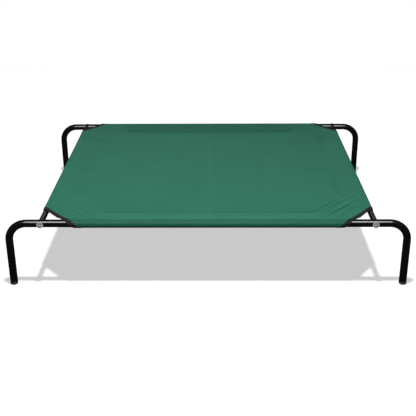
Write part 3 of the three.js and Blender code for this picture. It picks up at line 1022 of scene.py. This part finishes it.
def stitch_tree():
    """Geometry nodes: a rounded stitch at each step along the lines it is given."""
    tree = bpy.data.node_groups.new("stitch_row", "GeometryNodeTree")
    for name, way, kind in (
        ("Geometry", "INPUT", "Geometry"),
        ("Pitch", "INPUT", "Float"),
        ("Stitch length", "INPUT", "Float"),
        ("Thread thickness", "INPUT", "Float"),
        ("Thread", "INPUT", "Material"),
        ("Geometry", "OUTPUT", "Geometry"),
    ):
        tree.interface.new_socket(name, in_out=way, socket_type="NodeSocket" + kind)
    given = add_node(tree, "NodeGroupInput")
    result = add_node(tree, "NodeGroupOutput")
    lines = add_node(tree, "GeometryNodeMeshToCurve")
    steps = add_node(tree, "GeometryNodeResampleCurve", mode="LENGTH")
    stitch = add_node(tree, "GeometryNodeMeshUVSphere", {"Segments": 6, "Rings": 5, "Radius": 0.5})
    size = add_node(tree, "ShaderNodeCombineXYZ")
    shape = add_node(tree, "GeometryNodeTransform")
    tangent = add_node(tree, "GeometryNodeInputTangent")
    turn = add_node(tree, "FunctionNodeAlignRotationToVector", axis="Z")
    jitter = add_node(tree, "FunctionNodeRandomValue", {"Seed": 4}, data_type="FLOAT_VECTOR")
    jitter.inputs["Min"].default_value = (-STITCH_LEAN, -STITCH_LEAN, -STITCH_LEAN)
    jitter.inputs["Max"].default_value = (STITCH_LEAN, STITCH_LEAN, STITCH_LEAN)
    lean = add_node(tree, "FunctionNodeEulerToRotation")
    both = add_node(tree, "FunctionNodeRotateRotation")
    place = add_node(tree, "GeometryNodeInstanceOnPoints")
    real = add_node(tree, "GeometryNodeRealizeInstances")
    finish = add_node(tree, "GeometryNodeSetMaterial")
    for source, output, target, socket in (
        (given, "Geometry", lines, "Mesh"),
        (lines, "Curve", steps, "Curve"),
        (given, "Pitch", steps, "Length"),
        (given, "Thread thickness", size, "X"),
        (given, "Thread thickness", size, "Y"),
        (given, "Stitch length", size, "Z"),
        (stitch, "Mesh", shape, "Geometry"),
        (size, "Vector", shape, "Scale"),
        (steps, "Curve", place, "Points"),
        (shape, "Geometry", place, "Instance"),
        (tangent, "Tangent", turn, "Vector"),
        (jitter, "Value", lean, "Euler"),
        (turn, "Rotation", both, "Rotation"),
        (lean, "Rotation", both, "Rotate By"),
        (both, "Rotation", place, "Rotation"),
        (place, "Instances", real, "Geometry"),
        (real, "Geometry", finish, "Geometry"),
        (given, "Thread", finish, "Material"),
        (finish, "Geometry", result, "Geometry"),
    ):
        tree.links.new(source.outputs[output], target.inputs[socket])
    return tree


def sewn(name, lines, tree, material):
    """Stitches along the lines, as a plain mesh."""
    vertices = [tuple(point) for line in lines for point in line]
    edges = []
    start = 0
    for line in lines:
        edges += [(start + i, start + i + 1) for i in range(len(line) - 1)]
        start += len(line)
    mesh = bpy.data.meshes.new(name + "_lines")
    mesh.from_pydata(vertices, edges, [])
    guide = bpy.data.objects.new(name + "_lines", mesh)
    bpy.context.scene.collection.objects.link(guide)
    modifier = guide.modifiers.new("stitches", "NODES")
    modifier.node_group = tree
    values = {"Pitch": STITCH_PITCH, "Stitch length": STITCH_LENGTH,
              "Thread thickness": THREAD_THICKNESS, "Thread": material}
    for socket in tree.interface.items_tree:
        if socket.in_out == "INPUT" and socket.name in values:
            modifier[socket.identifier] = values[socket.name]
    made = link_object(name, evaluated_mesh(guide), material, sharp_angle=180)
    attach(made, "root")
    return made


def thread_material(name, dark, light):
    material, tree, shader = new_material(name, dark, 0.5)
    place = add_node(tree, "ShaderNodeTexCoord").outputs["Object"]
    colour_between(tree, shader, dark, light, noise_on(tree, place, 700, 2))
    bump_from(tree, shader, noise_on(tree, place, 4000, 1), 0.3, 0.0001)
    return material


def surface_line(p, q, above):
    here, normal = cloth_frame(np.asarray(p, float), np.asarray(q, float))
    return here + above * normal


def hem_lines():
    """Both rows of each hem, on the upper face and on the turned hem below."""
    lines = []
    sit = CLOTH / 2 + THREAD_THICKNESS * 0.15
    for sign in (-1, 1):
        for row in STITCH_ROWS:
            run = np.linspace(-1, 1, 240) * (HALF_X - END_SEAM_FROM - SEAM_END - row)
            lines.append(surface_line(run, np.full_like(run, sign * (HALF_Y - END_HEM - row)), sit))
            below = HALF_Y - EDGE_V + end_sleeve.length - STITCH_EDGE - row
            lines.append(surface_line(run * 0.995, np.full_like(run, sign * below), sit))
            run = np.linspace(-1, 1, 200) * (HALF_Y - SIDE_SEAM_FROM - SEAM_END - row)
            lines.append(surface_line(np.full_like(run, sign * (HALF_X - SIDE_HEM - row)), run, sit))
            below = HALF_X - EDGE_U + side_sleeve.length - STITCH_EDGE - row
            lines.append(surface_line(np.full_like(run, sign * below), run * 0.995, sit))
    return lines


def tape_lines():
    """A row on each face of the tape, the inner one sunk deeper so that it clears the tubes."""
    lines = []
    sit = CLOTH / 2 + TAPE + THREAD_THICKNESS * 0.2
    sunk = CLOTH / 2 + TAPE - THREAD_THICKNESS * 0.02
    start, stop = tape_reach()
    stations = np.linspace(start + 0.002, stop - 0.002, 180)
    for _, end_sign, side in CORNERS:
        p, q = corner_flat(side, end_sign, stations, TAPE_STITCH)
        lines += [surface_line(p, q, sit), surface_line(p, q, -sunk)]
    return lines


stitches = stitch_tree()
green_thread = thread_material("green_thread", *GREEN_THREAD)
black_thread = thread_material("black_thread", *BLACK_THREAD)
hem_stitches = sewn("hem_stitches", hem_lines(), stitches, green_thread)
tape_stitches = sewn("binding_stitches", tape_lines(), stitches, black_thread)

# ---- Studio -----------------------------------------------------------------------------------
# A white floor; a softbox, a front fill and a bright background for the cloth; a softbox for the
# tubes and pale panels for the bolts; and a lamp above that only draws the bed's shadow.
scene = bpy.context.scene
scene.view_settings.view_transform = "Standard"
tube_pieces = [piece for piece in scene.objects if "_tube" in piece.name]
cross_pieces = [piece for piece in tube_pieces if "_cross_" in piece.name]
zinc_pieces = [piece for piece in scene.objects if piece.name.endswith("_plated")]
cloth_pieces = [sheet, hem_stitches]
PANEL_HEIGHT = 0.19
WORLD_GREY = (0.04, 0.04, 0.04, 1)


def add_light(name, kind, place, target, energy, receivers, state="INCLUDE", **settings):
    """A light that the camera doesn't see. It reaches only its receivers, or all but them."""
    data = bpy.data.lights.new(name, kind)
    data.energy = energy
    for key, value in settings.items():
        setattr(data, key, value)
    light = bpy.data.objects.new(name, data)
    scene.collection.objects.link(light)
    light.location = place
    light.rotation_mode = "QUATERNION"
    light.rotation_quaternion = (Vector(target) - Vector(place)).to_track_quat("-Z", "Y")
    light.visible_camera = False
    group = bpy.data.collections.new(name + "_receivers")
    for receiver in receivers:
        group.objects.link(receiver)
    for member in group.collection_objects:
        member.light_linking.link_state = state
    light.light_linking.receiver_collection = group
    return light


def add_panel(name, place, target, energy, receivers, width, height, state="INCLUDE", **settings):
    """A rectangular panel of light."""
    return add_light(name, "AREA", place, target, energy, receivers, state, shape="RECTANGLE",
                     size=width, size_y=height, **settings)


def add_floor(name, half_width, height, glow_strength, albedo):
    """A square of floor with a glow of its own, which only the camera sees."""
    mesh = bpy.data.meshes.new(name)
    square = ((-1, -1), (1, -1), (1, 1), (-1, 1))
    corners = [(x * half_width, y * half_width, height) for x, y in square]
    mesh.from_pydata(corners, [], [(0, 1, 2, 3)])
    material = bpy.data.materials.new(name)
    material.use_nodes = True
    tree = material.node_tree
    tree.nodes.clear()
    glow = add_node(tree, "ShaderNodeEmission", {"Color": (1, 1, 1, 1), "Strength": glow_strength})
    matte = add_node(tree, "ShaderNodeBsdfDiffuse", {"Color": (albedo, albedo, albedo, 1)})
    both = add_node(tree, "ShaderNodeAddShader")
    output = add_node(tree, "ShaderNodeOutputMaterial")
    tree.links.new(glow.outputs["Emission"], both.inputs[0])
    tree.links.new(matte.outputs["BSDF"], both.inputs[1])
    tree.links.new(both.outputs["Shader"], output.inputs["Surface"])
    mesh.materials.append(material)
    made = bpy.data.objects.new(name, mesh)
    scene.collection.objects.link(made)
    made.visible_diffuse = False
    made.visible_glossy = False
    return made


floor = add_floor("floor", 2.0, 0.0, 0.583, 0.08)
far_floor = add_floor("far_floor", 60, -0.004, 1.0, 0.01)

world = bpy.data.worlds.new("studio")
world.use_nodes = True
world.node_tree.nodes["Background"].inputs["Color"].default_value = WORLD_GREY
world.node_tree.nodes["Background"].inputs["Strength"].default_value = 1.0
scene.world = world

bed_middle = (0, 0, PANEL_HEIGHT)
add_panel("cloth_box", (-0.3, -1.06, 1.63), (-0.06, -0.18, PANEL_HEIGHT), 4.5, cloth_pieces, 2.0, 0.9,
          spread=math.radians(62))
add_panel("front_fill", (0, -2.2, 1.9), (0, -0.4, PANEL_HEIGHT), 15, cloth_pieces, 2.0, 0.6)
back_glow = add_light("back_glow", "SUN", (0, 5.0, 1.5), bed_middle, 4.2, cloth_pieces,
                      angle=math.radians(20))
back_glow.visible_glossy = False
add_panel("back_wall", (0, 4.0, 2.9), bed_middle, 12, cloth_pieces + cross_pieces, 4.0, 1.6)
add_panel("softbox", (0, -1.06, 1.63), (0, -0.05, PANEL_HEIGHT), 80,
          [floor, far_floor] + cloth_pieces + zinc_pieces, 2.0, 0.9, "EXCLUDE")
for end, end_sign in ENDS:
    add_panel(f"{end}_panel", (0, end_sign * 3.2, 1.6), bed_middle, 24, zinc_pieces, 4.0, 2.4)
    add_panel(f"{end}_floor_card", (0, end_sign * 1.2, 0.01), (0, end_sign, 0.6), 6, zinc_pieces, 3.0, 1.2)
overhead = add_light("overhead", "POINT", (0, -0.80, 3.3), (0, 0, 0), 270, [floor], shadow_soft_size=0.11)
# the overhead's light doesn't weaken with distance, so the floor is lit evenly
overhead.data.use_nodes = True
lamp_tree = overhead.data.node_tree
even = add_node(lamp_tree, "ShaderNodeLightFalloff", {"Strength": 1.0})
lamp_tree.links.new(even.outputs["Constant"], lamp_tree.nodes["Emission"].inputs["Strength"])

CAMERA_TILT = math.radians(21.635)
CAMERA_ROLL = math.radians(-0.315)
CAMERA_YAW = math.radians(0.589)
camera_data = bpy.data.cameras.new("camera")
camera_data.lens = 63.18
camera_data.sensor_width = 36
camera_data.shift_y = -0.1273
camera = bpy.data.objects.new("camera", camera_data)
scene.collection.objects.link(camera)
camera.location = (0.0202, -2.1460, 1.0800)
camera.rotation_mode = "QUATERNION"
level = Matrix.Rotation(CAMERA_YAW, 3, "Z") @ Matrix.Rotation(math.pi / 2 - CAMERA_TILT, 3, "X")
camera.rotation_quaternion = (level @ Matrix.Rotation(CAMERA_ROLL, 3, "Z")).to_quaternion()
scene.camera = camera
